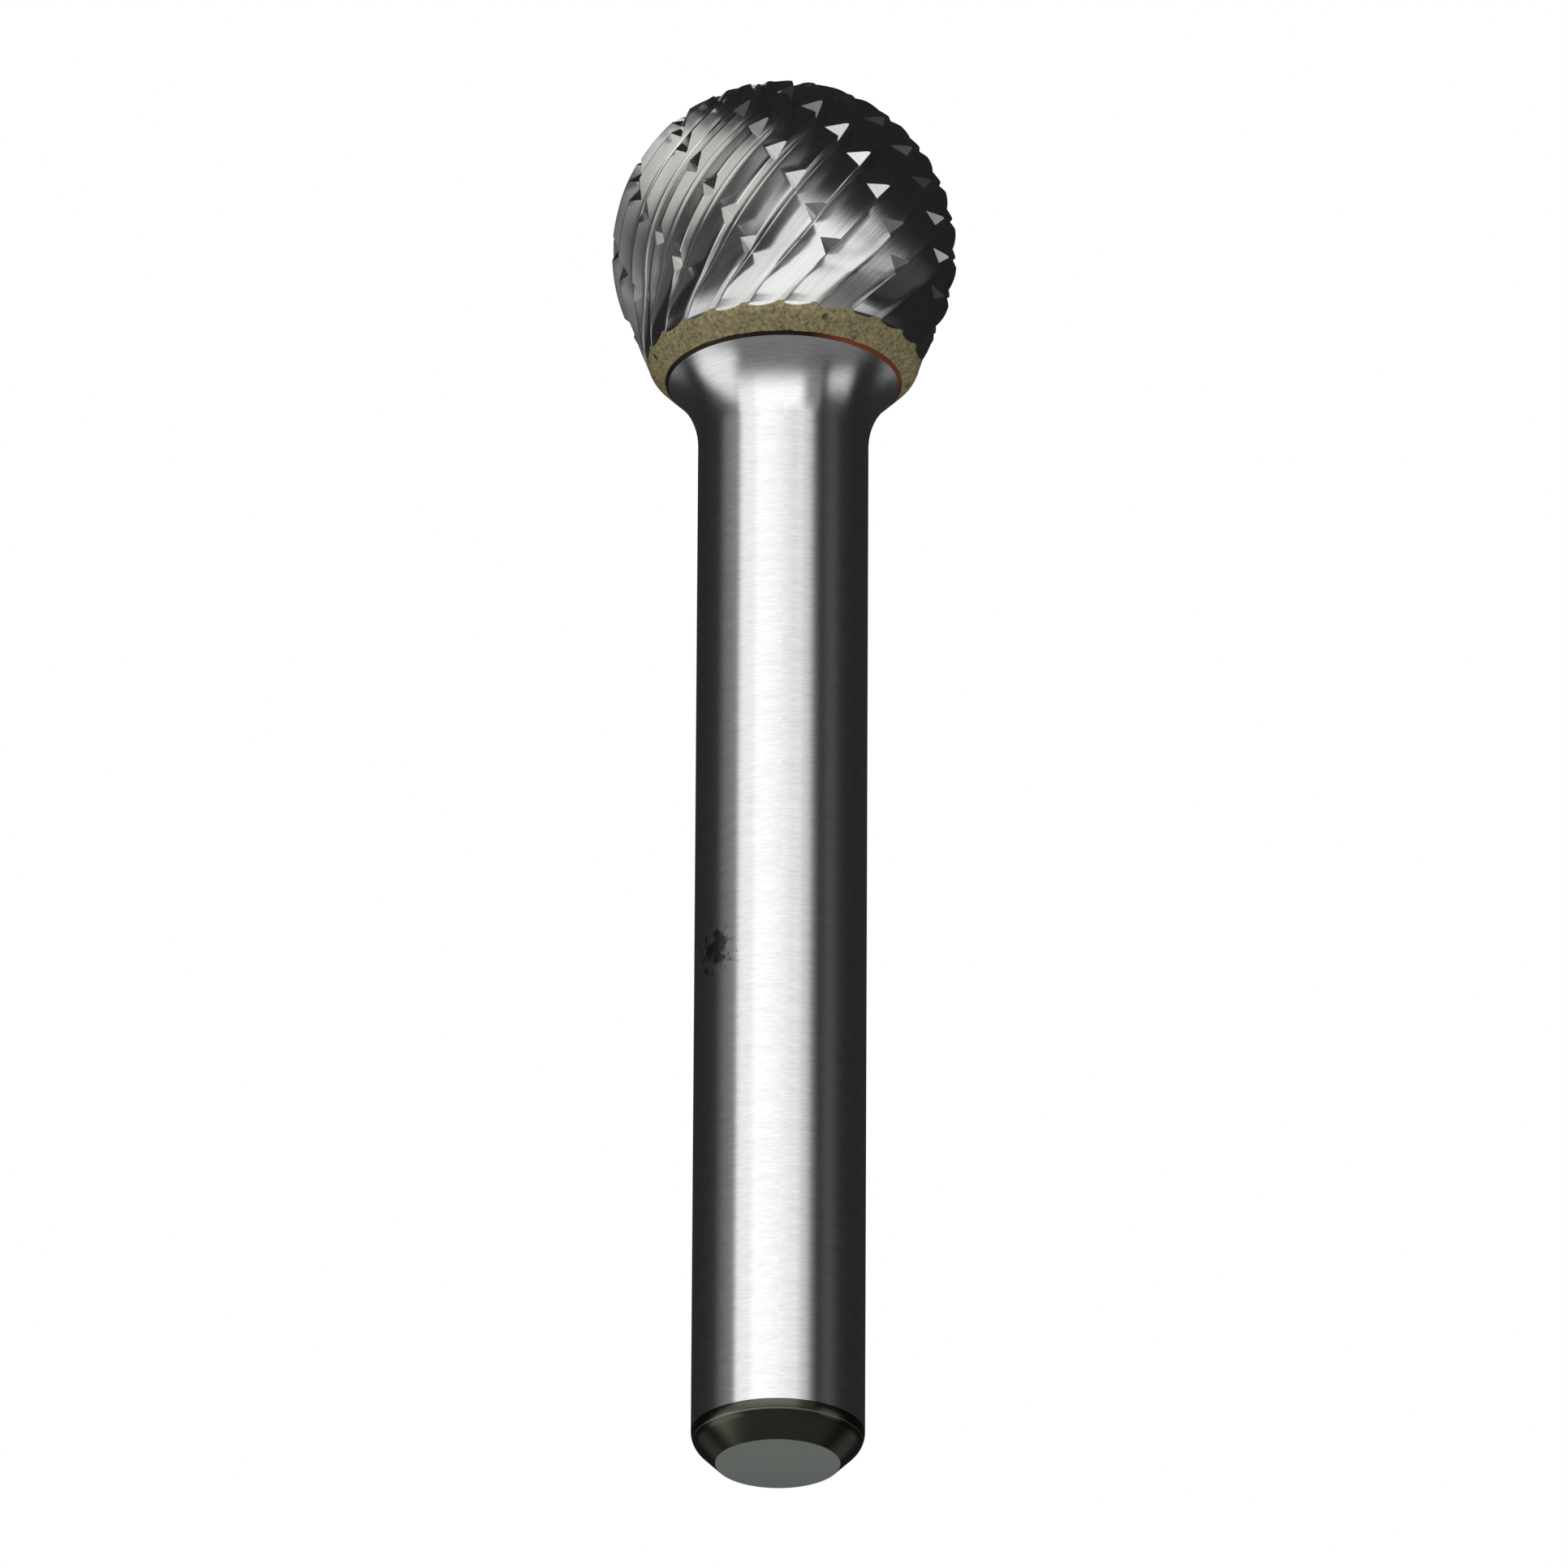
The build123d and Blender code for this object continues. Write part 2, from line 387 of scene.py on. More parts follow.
    def surface(self, latitude: np.ndarray) -> tuple[np.ndarray, np.ndarray, np.ndarray]:
        """Points of the fluted head, row by row from its seat to near the pole.

        Args:
            latitude: Latitude of each row, in radians.

        Returns:
            The points, their place in the grinding map and the depth cut into the blank there,
            each by row and column.
        """
        points, maps, depths = [], [], []
        for flute in range(self.flutes):
            flute_end = self.short_end if flute % 2 else self.long_end
            east, high = self.section(latitude, flute_end)
            middle = self.edge_angle(flute + 0.5, latitude)[:, None]
            north = latitude[:, None]
            outward = np.stack(
                [np.cos(north) * np.sin(middle), -np.cos(north) * np.cos(middle), np.sin(north)],
                -1,
            )
            eastward = np.stack([np.cos(middle), np.sin(middle), 0 * middle], -1)
            reach = self.blank.distance(latitude)[:, None]
            place = outward * (reach + high)[..., None] + eastward * east[..., None]
            length = np.linalg.norm(place, axis=-1)
            blank = self.blank.distance(np.arcsin(place[..., 2] / length))
            held = np.minimum(length, blank)
            held[:, 0], held[:, -1] = blank[:, 0], blank[:, -1]
            points.append(place * (held / length)[..., None])
            depths.append(blank - length)
            along = self.blank.radius * latitude[:, None] / math.cos(self.helix)
            wide = flute * self.pitch * self.blank.radius
            maps.append(np.stack([wide + east, along + 0 * east], -1))
        return (
            np.concatenate(points, 1),
            np.concatenate(maps, 1),
            np.concatenate(depths, 1),
        )


@dataclass(frozen=True)
class ChipBreakers:
    """Left-hand notches that break the teeth, on every other tooth in each row."""

    teeth: SpiralTeeth
    step: float = math.radians(11.12)
    first_latitude: float = math.radians(-2.8)
    rows: range = range(-2, 7)
    angle: float = math.radians(32.1)
    depth: float = 0.41 * MM
    deepening: float = 0.003 * 180 / math.pi
    depth_limit: float = 0.72
    width_share: float = 1.6
    steep_side: float = math.radians(65.0)
    run_share: float = 1.05
    lead_share: float = 0.22
    oversize: float = 1.35
    air: float = 0.25 * MM

    def wedge(self, tooth: int, row: int) -> tuple[np.ndarray, np.ndarray]:
        """Grinding wheel's path through one tooth, as a prism.

        Args:
            tooth: The tooth's number.
            row: The row of notches, counted from the equator.

        Returns:
            Eight corners, the first four at the end where the wheel enters, and each corner's
            place in the grinding map.
        """
        teeth, blank = self.teeth, self.teeth.blank
        latitude = np.array(self.first_latitude + row * self.step)
        angle = float(teeth.edge_angle(tooth, latitude))
        north_cos, north_sin = math.cos(latitude), math.sin(latitude)
        outward = np.array([north_cos * math.sin(angle), -north_cos * math.cos(angle), north_sin])
        east = np.array([math.cos(angle), math.sin(angle), 0.0])
        north = np.cross(outward, east)
        along = north * math.cos(self.angle) - east * math.sin(self.angle)
        across = east * math.cos(self.angle) + north * math.sin(self.angle)
        height = float(teeth.height(latitude, teeth.long_end))
        depth = min(
            self.depth * (1 + self.deepening * float(latitude)), self.depth_limit * height
        )
        width = self.width_share * depth
        slope = depth / width - width / (2 * blank.radius)
        top = self.oversize * width
        steep = (depth + self.air) / math.tan(self.steep_side)
        outline = [(-steep, self.air), (0.0, -depth), (top, slope * top - depth), (top, self.air)]
        pitch = blank.radius * north_cos * teeth.pitch
        crossing = pitch * math.cos(teeth.helix) / math.sin(teeth.helix + self.angle)
        before, beyond = self.lead_share * crossing, self.run_share * crossing * depth / height
        edge = outward * float(blank.distance(latitude))
        corners = [
            edge + along * run + across * a + outward * h
            for run in (-before, beyond)
            for a, h in outline
        ]
        places = [(a, run) for run in (-before, beyond) for a, _ in outline]
        return np.array(corners), np.array(places)


@dataclass
class CarbideHead:
    """The burr's head: the blank with its flutes and notches ground in."""

    teeth: SpiralTeeth
    breakers: ChipBreakers
    fine_rows_to: float = math.radians(-37.0)
    last_row: float = math.radians(88.4)
    fine_rows: int = 40
    rows: int = 124
    crease: float = math.radians(16.0)

    def latitudes(self) -> np.ndarray:
        """Rows of the mesh, closer together round the base where the flutes run out.

        Returns:
            The latitudes in radians, from the seat to near the pole.
        """
        blank = self.teeth.blank
        seat = -math.atan2(blank.seat_below, blank.seat_radius)
        low = np.linspace(seat, self.fine_rows_to, self.fine_rows, endpoint=False)
        return np.concatenate([low, np.linspace(self.fine_rows_to, self.last_row, self.rows)])

    def fluted(self) -> bpy.types.Object:
        """Makes the head with its flutes, before the notches.

        Returns:
            The new object, with its grinding map and the depth cut away at each point.
        """
        points, places, depths = self.teeth.surface(self.latitudes())
        rows, columns = points.shape[:2]
        seat = (0.0, 0.0, -self.teeth.blank.seat_below)
        pole = (0.0, 0.0, self.teeth.blank.radius)
        flat = np.concatenate([points.reshape(-1, 3), [seat, pole]])
        flat[:, 2] += self.teeth.blank.centre
        head = mesh_object("carbide_head_ground", flat, tube_faces(rows, columns))
        middles = [places[0, 0], places[-1, 0]]
        self.map_faces(head.data, np.concatenate([places.reshape(-1, 2), middles]))
        uncut = -MM  # well outside the blank, as the seat's middle and the pole aren't ground
        flat_cut = np.concatenate([depths.reshape(-1), [uncut, uncut]])
        cut = head.data.attributes.new(CUT_DEPTH, "FLOAT", "POINT")
        cut.data.foreach_set("value", (flat_cut / MM).astype(np.float32))
        return head

    def map_faces(self, mesh: bpy.types.Mesh, places: np.ndarray) -> None:
        """Writes the grinding map in millimetres, running on past the last flute with no jump.

        Args:
            mesh: The mesh of the head or the notches.
            places: Each point's place in the map, in metres.
        """
        corners = np.zeros(len(mesh.loops), int)
        mesh.loops.foreach_get("vertex_index", corners)
        found = places[corners] / MM
        around = 2 * math.pi * self.teeth.blank.radius / MM
        starts = np.zeros(len(mesh.polygons), int)
        totals = np.zeros(len(mesh.polygons), int)
        mesh.polygons.foreach_get("loop_start", starts)
        mesh.polygons.foreach_get("loop_total", totals)
        face = np.repeat(np.arange(len(starts)), totals)
        widest = np.maximum.reduceat(found[:, 0], starts)[face]
        found[(widest - found[:, 0]) > around / 2, 0] += around
        layer = mesh.uv_layers.new(name=GRIND_MAP)
        layer.uv.foreach_set("vector", found.astype(np.float32).ravel())

    def wedges(self) -> bpy.types.Object:
        """Makes every notch's prism, as one object for the cut.

        Returns:
            The cutter, with its grinding map.
        """
        sides = [(0, 1, 2, 3), (7, 6, 5, 4), (4, 5, 1, 0), (5, 6, 2, 1), (6, 7, 3, 2), (7, 4, 0, 3)]
        corners, places, faces = [], [], []
        for row in self.breakers.rows:
            for tooth in range(row % 2, self.teeth.flutes, 2):
                first = sum(len(c) for c in corners)
                prism, place = self.breakers.wedge(tooth, row)
                corners.append(prism)
                places.append(place)
                faces += [tuple(first + i for i in side) for side in sides]
        points = np.concatenate(corners)
        points[:, 2] += self.teeth.blank.centre
        cutter = mesh_object("notch_wheels", points, faces)
        self.map_faces(cutter.data, np.concatenate(places))
        return cutter

    def build(self, materials: list[bpy.types.Material]) -> bpy.types.Object:
        """Cuts the notches and dresses the head.

        Args:
            materials: The ground carbide's finish, then the notches'.

        Returns:
            The finished piece.
        """
        head, cutter = self.fluted(), self.wedges()
        for obj in (head, cutter):
            for material in materials:
                obj.data.materials.append(material)
        number = len(materials) - 1
        cutter.data.polygons.foreach_set("material_index", [number] * len(cutter.data.polygons))
        modifier = head.modifiers.new("notches", "BOOLEAN")
        modifier.operation, modifier.solver = "DIFFERENCE", "EXACT"
        modifier.object = cutter
        found = bpy.context.evaluated_depsgraph_get()
        cut = bpy.data.meshes.new_from_object(head.evaluated_get(found))
        head.modifiers.clear()
        head.data = cut
        bpy.data.objects.remove(cutter)
        finish_piece(head, "carbide_head", self.crease, materials)
        return head


# --- the turned pieces --------------------------------------------------------------------


@dataclass(frozen=True)
class Lathe:
    """Turns an outline round the tool's axis."""

    segments: int = 288

    def turn(self, name: str, outline: list[tuple[float, float]]) -> bpy.types.Object:
        """Makes a closed turned piece.

        Args:
            name: The piece's name.
            outline: Radius and height of each point, from the bottom's rim to the top's rim.

        Returns:
            The new object.
        """
        angle = np.arange(self.segments) * 2 * math.pi / self.segments
        ring = np.stack([np.sin(angle), -np.cos(angle)], -1)
        rows = [np.column_stack([ring * r, np.full(self.segments, z)]) for r, z in outline]
        ends = [(0.0, 0.0, outline[0][1]), (0.0, 0.0, outline[-1][1])]
        faces = tube_faces(len(outline), self.segments)
        return mesh_object(name, np.concatenate([*rows, ends]), faces)


def arc(
    centre: tuple[float, float], radius: float, start: float, stop: float, steps: int
) -> list[tuple[float, float]]:
    """Points along an arc of an outline.

    Args:
        centre: Radius and height of the arc's centre.
        radius: The arc's radius.
        start: Angle of the first point from straight out, in radians.
        stop: Angle of the last point.
        steps: Steps between the two.

    Returns:
        Radius and height of each point.
    """
    turns = [start + (stop - start) * i / steps for i in range(steps + 1)]
    return [(centre[0] + radius * math.cos(t), centre[1] + radius * math.sin(t)) for t in turns]


@dataclass
class SteelShank:
    """The ground shank, from its chamfered end to the taper under the head."""

    top: float
    radius: float = 3.175 * MM
    top_radius: float = 4.30 * MM
    chamfer: float = 0.90 * MM
    rounding: float = 0.85 * MM
    blend: float = 3.50 * MM
    rim: float = 0.05 * MM
    # Where the painted highlight ring sits on the chamfer's rounding, and how wide it is.
    highlight_turn: float = math.radians(24.0)
    highlight_width: float = 0.06 * MM
    slant: float = math.radians(45.0)
    end_tilt: float = math.radians(25.0)
    rim_steps: int = 3
    end_steps: int = 12
    neck_steps: int = 24
    crease: float = math.radians(25.0)

    @property
    def ground_from(self) -> float:
        """Height where the rounding over the chamfer ends and the ground side starts."""
        return self.chamfer + self.rounding * math.tan(self.slant / 2)

    def outline(self) -> list[tuple[float, float]]:
        """Radius and height of the shank's outline.

        Returns:
            The points, from the rim of the end's flat to the taper's top.
        """
        tangent = math.tan(self.slant / 2)
        end_centre = (self.radius - self.rounding, self.ground_from)
        flare = self.top_radius - self.radius
        neck_corner = self.top - flare
        neck_centre = (self.radius + self.blend, neck_corner - self.blend * tangent)
        flat = self.radius - self.chamfer
        rim_centre = (flat - self.rim * tangent, self.rim)
        points = arc(rim_centre, self.rim, -math.pi / 2, -self.slant, self.rim_steps)
        points += arc(end_centre, self.rounding, -self.slant, 0.0, self.end_steps)
        points += arc(neck_centre, self.blend, math.pi, math.pi - self.slant, self.neck_steps)
        return points + [(self.top_radius, self.top)]

    def build(self, materials: list[bpy.types.Material]) -> bpy.types.Object:
        """Turns and dresses the shank.

        Args:
            materials: The finishes of the ground side, the turned chamfer, the end and the painted
                highlight on the ridge.

        Returns:
            The finished piece.
        """
        shank = Lathe().turn("steel_shank_ground", self.outline())
        turned, end, ridge = 1, 2, 3
        # Painted highlight: a thin ring of paler steel on the rounding's arc stands in for the
        # bright line that it reflects.
        highlight_height = self.ground_from - self.rounding * math.sin(self.highlight_turn)
        for side in shank.data.polygons:
            if side.normal.z < -math.cos(self.end_tilt):
                side.material_index = end
            elif abs(side.center.z - highlight_height) < self.highlight_width / 2:
                side.material_index = ridge
            elif side.center.z < self.ground_from:
                side.material_index = turned
        finish_piece(shank, "steel_shank", self.crease, materials)
        return shank


@dataclass
class BrazeJoint:
    """The edge of the braze that holds the head on the shank."""

    low: float
    high: float
    low_radius: float = 4.30 * MM
    high_radius: float = 4.42 * MM
    crease: float = math.radians(25.0)

    def build(self, materials: list[bpy.types.Material]) -> bpy.types.Object:
        """Turns and dresses the joint.

        Args:
            materials: The braze's finish.

        Returns:
            The finished piece.
        """
        outline = [(self.low_radius, self.low), (self.high_radius, self.high)]
        joint = Lathe().turn("braze_line", outline)
        finish_piece(joint, "braze_joint", self.crease, materials)
        return joint


# --- finishes -----------------------------------------------------------------------------


class Lay(Enum):
    """Which way the marks of the last machining run on a surface."""

    ALONG_FLUTE = "along_flute"
    ALONG_NOTCH = "along_notch"
    ROUND_AXIS = "round_axis"


@dataclass(frozen=True)
class Streaks:
    """Fine parallel lines that a wheel or a lathe leaves.

    Spacing and relief are in millimetres. The length is too, except round the axis, where it is
    in radians. The real lines are a few hundredths of a millimetre apart or less, too fine to
    show, so each finish draws them several times as coarse.
    """

    lay: Lay
    spacing: float
    length: float
    relief: float

    def coordinates(self, tree: NodeTree) -> Socket:
        """Place on the surface, with the lines running along its second axis.

        Args:
            tree: The material's node tree.

        Returns:
            The vector socket.
        """
        if self.lay is not Lay.ROUND_AXIS:
            return add_node(tree, "ShaderNodeUVMap", uv_map=GRIND_MAP).outputs["UV"]
        place = add_node(tree, "ShaderNodeTexCoord").outputs["Object"]
        axes = add_node(tree, "ShaderNodeSeparateXYZ", {"Vector": place})
        sides = {0: axes.outputs["X"], 1: axes.outputs["Y"]}
        turn = add_node(tree, "ShaderNodeMath", sides, operation="ARCTAN2")
        high = product(tree, (axes.outputs["Z"], 1 / MM))
        both = {"X": high, "Y": turn.outputs[0]}
        return add_node(tree, "ShaderNodeCombineXYZ", both).outputs[0]

    def pattern(self, tree: NodeTree, coarser: float = 1.0) -> Socket:
        """Noise drawn out along the lines.

        Args:
            tree: The material's node tree.
            coarser: How many times wider than the spacing the lines are.

        Returns:
            The noise, from 0 to 1.
        """
        scale = (1 / (self.spacing * coarser), 1 / (self.length * coarser), 1.0)
        drawn_out = {0: self.coordinates(tree), 1: scale}
        place = add_node(tree, "ShaderNodeVectorMath", drawn_out, operation="MULTIPLY")
        noise = {"Vector": place.outputs[0], "Scale": 1.0, "Detail": 2.0, "Roughness": 0.6}
        return add_node(tree, "ShaderNodeTexNoise", noise).outputs[0]


def stretch(low: float, high: float) -> dict[str, float]:
    """Ranges that stretch the middle of a noise over a range of shares.

    Args:
        low: The share where the noise is low.
        high: The share where it is high.

    Returns:
        The inputs of a Map Range node.
    """
    return {"From Min": NOISE_LOW, "From Max": NOISE_HIGH, "To Min": low, "To Max": high}


@dataclass(frozen=True)
class Finish:
    """What a surface is, by name, and how it looks."""

    name: str

    def surface(self, tree: NodeTree) -> Socket:
        """Adds the nodes that draw the surface; each kind of finish has its own.

        Args:
            tree: The material's node tree.

        Returns:
            The shader's socket.
        """
        raise NotImplementedError

    def material(self) -> bpy.types.Material:
        """Makes the material of this finish.

        Returns:
            The material.
        """
        material = bpy.data.materials.new(self.name)
        material.use_nodes = True
        tree = material.node_tree
        tree.nodes.clear()
        add_node(tree, "ShaderNodeOutputMaterial", {"Surface": self.surface(tree)})
        return material


@dataclass(frozen=True)
class TwoFinishes(Finish):
    """Two finishes on one piece, told apart by where they are."""

    first: Finish
    second: Finish

    def share(self, tree: NodeTree) -> Socket:
        """Adds the second finish's share, from 0 to 1; each pair has its own.

        Args:
            tree: The material's node tree.

        Returns:
            The share's socket.
        """
        raise NotImplementedError

    def surface(self, tree: NodeTree) -> Socket:
        """Mixes the two."""
        parts = {0: self.share(tree), 1: self.first.surface(tree), 2: self.second.surface(tree)}
        return add_node(tree, "ShaderNodeMixShader", parts).outputs[0]


@dataclass(frozen=True)
class Smudge:
    """A dark, broken mark of old cutting oil on the shank, with sizes in millimetres."""

    turn: float = math.radians(-48.0)
    height: float = 19.6
    radius: float = 3.175
    reach: float = 0.95
    blot: float = 0.34
    ragged: float = 3.4
    dark_to: float = 0.3
    clear_from: float = 0.9
    light_left: float = 0.3

    def light_kept(self, tree: NodeTree) -> Socket:
        """Adds the share of the metal's colour that the mark lets through.

        Args:
            tree: The material's node tree.

        Returns:
            The share, 1 away from the mark.
        """
        east, front = math.sin(self.turn), math.cos(self.turn)
        middle = tuple(v * MM for v in (east * self.radius, -front * self.radius, self.height))
        place = add_node(tree, "ShaderNodeTexCoord").outputs["Object"]
        ends = {0: place, 1: middle}
        away = add_node(tree, "ShaderNodeVectorMath", ends, operation="DISTANCE").outputs["Value"]
        grain = {"Vector": place, "Scale": 1 / (self.blot * MM)}
        blots = add_node(tree, "ShaderNodeTexNoise", grain).outputs[0]
        torn = {0: blots, 1: self.ragged, 2: -self.ragged / 2}
        edge = add_node(tree, "ShaderNodeMath", torn, operation="MULTIPLY_ADD").outputs[0]
        shape = {0: away, 1: 1 / (self.reach * MM), 2: edge}
        spot = add_node(tree, "ShaderNodeMath", shape, operation="MULTIPLY_ADD").outputs[0]
        share = {
            "Value": spot,
            "From Min": self.dark_to,
            "From Max": self.clear_from,
            "To Min": self.light_left,
        }
        return add_node(tree, "ShaderNodeMapRange", share).outputs[0]


@dataclass(frozen=True)
class PlainMetal(Finish):
    """A metal surface with no marks that show: an even sheen."""

    colour: str
    roughness: float

    def surface(self, tree: NodeTree) -> Socket:
        """Adds the metal's shader."""
        look = {"Base Color": linear(self.colour), "Metallic": 1.0, "Roughness": self.roughness}
        return add_node(tree, "ShaderNodeBsdfPrincipled", look).outputs[0]


@dataclass(frozen=True)
class GroundMetal(Finish):
    """A metal surface left by a wheel or a lathe: bright, with fine lines along its lay.

    The lines scatter light across themselves, so a reflection is drawn out across the lay and
    stays sharp along it.
    """

    colour: str
    roughness: float
    anisotropy: float
    streaks: Streaks
    shade: tuple[float, float] = (0.9, 1.06)
    broad_shade: tuple[float, float] = (0.95, 1.05)
    broad: float = 5.0
    smudge: Smudge | None = None

    def shades(self, tree: NodeTree, lines: Socket) -> list[Socket]:
        """Adds what the colour is multiplied by: fine lines, broad bands and any smudge.

        Args:
            tree: The material's node tree.
            lines: The fine lines' noise.

        Returns:
            The factors, each near 1.
        """
        bands = self.streaks.pattern(tree, self.broad)
        found = []
        for value, limits in ((lines, self.shade), (bands, self.broad_shade)):
            shade = {"Value": value, **stretch(*limits)}
            found.append(add_node(tree, "ShaderNodeMapRange", shade).outputs[0])
        return found + ([self.smudge.light_kept(tree)] if self.smudge else [])

    def surface(self, tree: NodeTree) -> Socket:
        """Adds the ground metal's shader.

        Args:
            tree: The material's node tree.

        Returns:
            The shader's socket.
        """
        lines = self.streaks.pattern(tree)
        tint = {0: linear(self.colour)[:3], "Scale": product(tree, self.shades(tree, lines))}
        colour = add_node(tree, "ShaderNodeVectorMath", tint, operation="SCALE")
        relief = {"Height": lines, "Strength": 1.0, "Distance": self.streaks.relief * MM}
        bump = add_node(tree, "ShaderNodeBump", relief)
        round_axis = self.streaks.lay is Lay.ROUND_AXIS
        way = {"direction_type": "UV_MAP", "uv_map": GRIND_MAP}
        if round_axis:
            way = {"direction_type": "RADIAL", "axis": "Z"}
        look = {
            "Base Color": colour.outputs[0],
            "Metallic": 1.0,
            "Roughness": self.roughness,
            "Anisotropic": self.anisotropy,
            "Anisotropic Rotation": QUARTER_TURN if round_axis else 0.0,
            "Normal": bump.outputs[0],
            "Tangent": add_node(tree, "ShaderNodeTangent", **way).outputs[0],
        }
        return add_node(tree, "ShaderNodeBsdfPrincipled", look).outputs[0]


@dataclass(frozen=True)
class SinteredSkin(Finish):
    """A furnace's crust of fine grains with pits, with sizes in millimetres.

    Real grains are a few thousandths of a millimetre, so the lumps are drawn at 0.15 to show.
    """

    colour: str = "#7C7354"
    grain_shade: tuple[float, float] = (0.45, 1.75)
    blotch_shade: tuple[float, float] = (0.88, 1.12)
    # painted shade: the colour inside each pit falls to this share
    pit_painted_shade: float = 0.35
    grain: float = 0.15
    blotch: float = 0.9
    metallic: float = 0.4
    roughness: float = 0.5
    relief: float = 0.03
    pit_spacing: float = 1.15
    pit_radius: float = 0.15
    pit_depth: float = 0.12
    pit_floor: float = 0.5  # the flat floor's share of a pit's radius

    def pits(self, tree: NodeTree, place: Socket) -> Socket:
        """Adds scattered pits.

        Args:
            tree: The material's node tree.
            place: Place on the piece, in metres.

        Returns:
            0 in a pit and 1 beside it.
        """
        spread = {"Vector": place, "Scale": 1 / (self.pit_spacing * MM), "Randomness": 1.0}
        cells = add_node(tree, "ShaderNodeTexVoronoi", spread)
        rim = self.pit_radius / self.pit_spacing
        wall = {
            "Value": cells.outputs["Distance"],
            "From Min": rim * self.pit_floor,
            "From Max": rim,
        }
        smooth = "SMOOTHSTEP"
        return add_node(tree, "ShaderNodeMapRange", wall, interpolation_type=smooth).outputs[0]

    def surface(self, tree: NodeTree) -> Socket:
        """Adds the skin's shader.

        Args:
            tree: The material's node tree.

        Returns:
            The shader's socket.
        """
        place = add_node(tree, "ShaderNodeTexCoord").outputs["Object"]
        lumps = {"Scale": 1 / (self.grain * MM), "Detail": 3.0, "Roughness": 0.7}
        grains = add_node(tree, "ShaderNodeTexNoise", {"Vector": place, **lumps}).outputs[0]
        patches = {"Vector": place, "Scale": 1 / (self.blotch * MM)}
        blotches = add_node(tree, "ShaderNodeTexNoise", patches).outputs[0]
        pits = self.pits(tree, place)
        # The pits' share darkens the colour in each pit: painted shade.
        shades = []
        for value, limits in (
            (grains, stretch(*self.grain_shade)),
            (blotches, stretch(*self.blotch_shade)),
            (pits, {"To Min": self.pit_painted_shade}),
        ):
            shade = {"Value": value, **limits}
            shades.append(add_node(tree, "ShaderNodeMapRange", shade).outputs[0])
        tint = {0: linear(self.colour)[:3], "Scale": product(tree, shades)}
        colour = add_node(tree, "ShaderNodeVectorMath", tint, operation="SCALE")
        relief = {"Height": grains, "Strength": 1.0, "Distance": self.relief * MM}
        rough = add_node(tree, "ShaderNodeBump", relief).outputs[0]
        holes = {"Height": pits, "Strength": 1.0, "Distance": self.pit_depth * MM}
        sunk = add_node(tree, "ShaderNodeBump", {**holes, "Normal": rough})
        look = {
            "Base Color": colour.outputs[0],
            "Metallic": self.metallic,
            "Roughness": self.roughness,
            "Normal": sunk.outputs[0],
        }
        return add_node(tree, "ShaderNodeBsdfPrincipled", look).outputs[0]


@dataclass(frozen=True)
class HeadFinish(TwoFinishes):
    """The sintered skin, then ground carbide where a wheel has cut and above the skin's top."""

    skin_top: float
    edge: float = 0.012  # depth in millimetres at which the ground finish is complete

    def share(self, tree: NodeTree) -> Socket:
        """Tells ground from skin by the depth cut away and by height.

        Args:
            tree: The material's node tree.

        Returns:
            The ground carbide's share.
        """
        cut = add_node(tree, "ShaderNodeAttribute", attribute_name=CUT_DEPTH).outputs["Fac"]
        depth = {"Value": cut, "From Min": 0.0, "From Max": self.edge}
        wheel = add_node(tree, "ShaderNodeMapRange", depth).outputs[0]
        place = add_node(tree, "ShaderNodeTexCoord").outputs["Object"]
        high = add_node(tree, "ShaderNodeSeparateXYZ", {"Vector": place}).outputs["Z"]
        limit = {0: high, 1: self.skin_top}
        above = add_node(tree, "ShaderNodeMath", limit, operation="GREATER_THAN").outputs[0]
        either = {0: wheel, 1: above}
        return add_node(tree, "ShaderNodeMath", either, operation="MAXIMUM").outputs[0]


@dataclass(frozen=True)
class BrazeFinish(TwoFinishes):
    """The braze's edge: a brown tarnish, then copper over the arc that was wiped clean."""

    clean_from: float = math.radians(22.0)
    clean_to: float = math.radians(96.0)
    fade: float = math.radians(9.0)

    def share(self, tree: NodeTree) -> Socket:
        """Tells clean from tarnished by the angle east of the front.

        Args:
            tree: The material's node tree.

        Returns:
            The clean copper's share.
        """
        turn = angle_east(tree, add_node(tree, "ShaderNodeTexCoord").outputs["Object"])
        ends = []
        for middle, soft in ((self.clean_from, self.fade), (self.clean_to, -self.fade)):
            edge = {"Value": turn, "From Min": middle - soft, "From Max": middle + soft}
            ends.append(add_node(tree, "ShaderNodeMapRange", edge).outputs[0])
        return product(tree, ends)


@dataclass(frozen=True)
class Paper(Finish):
    """Matt paper that shows only from its upper side."""

    colour: str

    def surface(self, tree: NodeTree) -> Socket:
        """Adds the paper's shader."""
        matt = add_node(tree, "ShaderNodeBsdfDiffuse", {"Color": linear(self.colour)})
        clear = add_node(tree, "ShaderNodeBsdfTransparent")
        behind = add_node(tree, "ShaderNodeNewGeometry").outputs["Backfacing"]
        sides = {0: behind, 1: matt.outputs[0], 2: clear.outputs[0]}
        return add_node(tree, "ShaderNodeMixShader", sides).outputs[0]


# Tungsten carbide as pressed and sintered: a dull straw-coloured crust of grains with pits, each
# pit darkened with painted shade.
SINTERED_CARBIDE = SinteredSkin("sintered_carbide")
# Wheel-ground tungsten carbide: a grey mirror with hairlines that follow each flute. The lines
# are drawn 0.11 mm apart to show.
GROUND_CARBIDE = GroundMetal(
    "ground_carbide",
    "#D6D6D4",
    roughness=0.2,
    anisotropy=0.35,
    streaks=Streaks(Lay.ALONG_FLUTE, spacing=0.11, length=3.5, relief=0.0025),
)
# The same carbide, cut across the teeth by a thinner wheel: small flat facets that flash.
NOTCHED_CARBIDE = GroundMetal(
    "notched_carbide",
    "#D6D6D4",
    roughness=0.22,
    anisotropy=0.3,
    streaks=Streaks(Lay.ALONG_NOTCH, spacing=0.08, length=2.0, relief=0.002),
)
